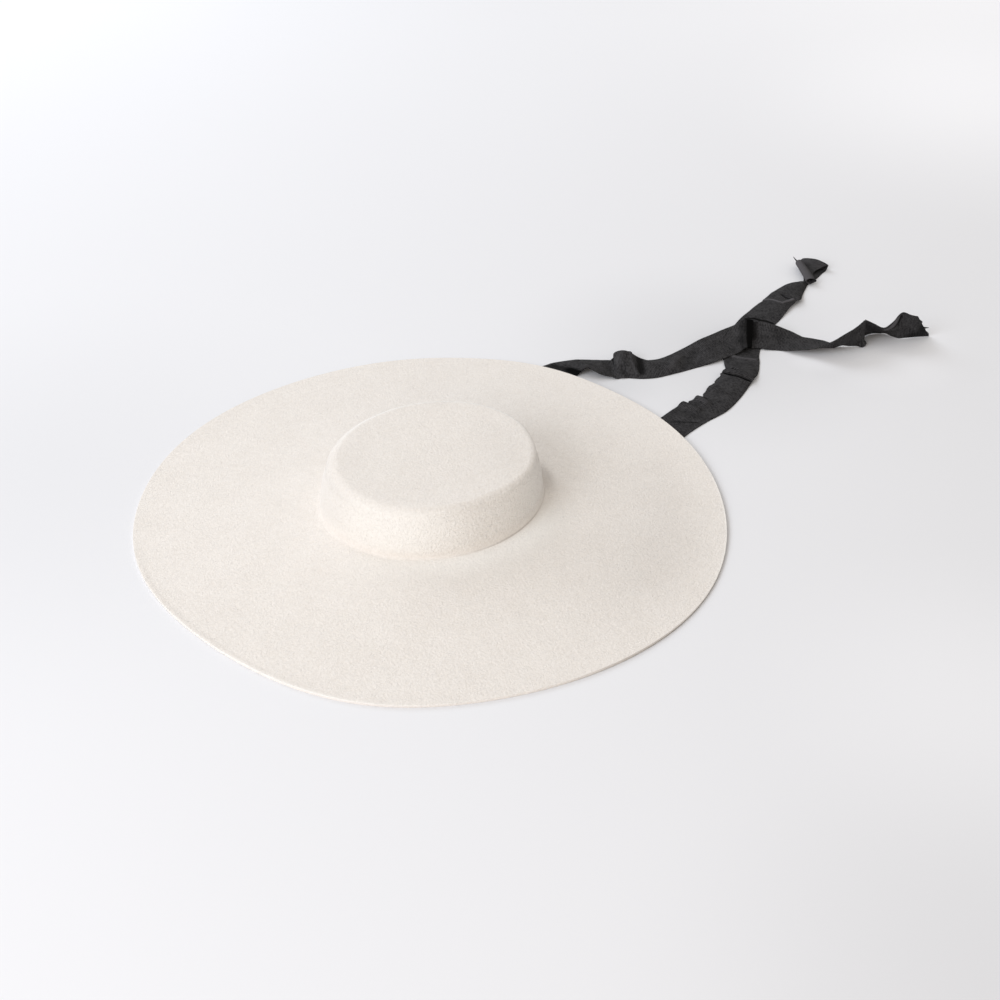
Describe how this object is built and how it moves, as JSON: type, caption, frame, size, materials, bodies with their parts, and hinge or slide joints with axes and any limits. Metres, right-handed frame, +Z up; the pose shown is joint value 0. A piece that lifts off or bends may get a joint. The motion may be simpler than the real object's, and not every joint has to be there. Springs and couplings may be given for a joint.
{
  "type": "wide brim felt hat",
  "caption": "Wide flat-brimmed felt hat with a low, flat-topped oval crown that is hollow for the head, and loose ribbon ties that trail from under the brim.",
  "frame": {"origin": "middle of the brim, on the surface that the hat rests on", "axes": "+Z up through the crown, -Y towards the front of the hat, +X towards the wearer's left; the ties trail towards +Y"},
  "size_m": [0.537, 0.8894, 0.064],
  "materials": {
    "felt": "matte ivory wool felt with a fine short nap",
    "ribbon": "matte black woven ribbon"
  },
  "bodies": {
    "root": {"felt_body": "felt", "right_tie": "ribbon", "left_tie": "ribbon"}
  },
  "joints": []
}
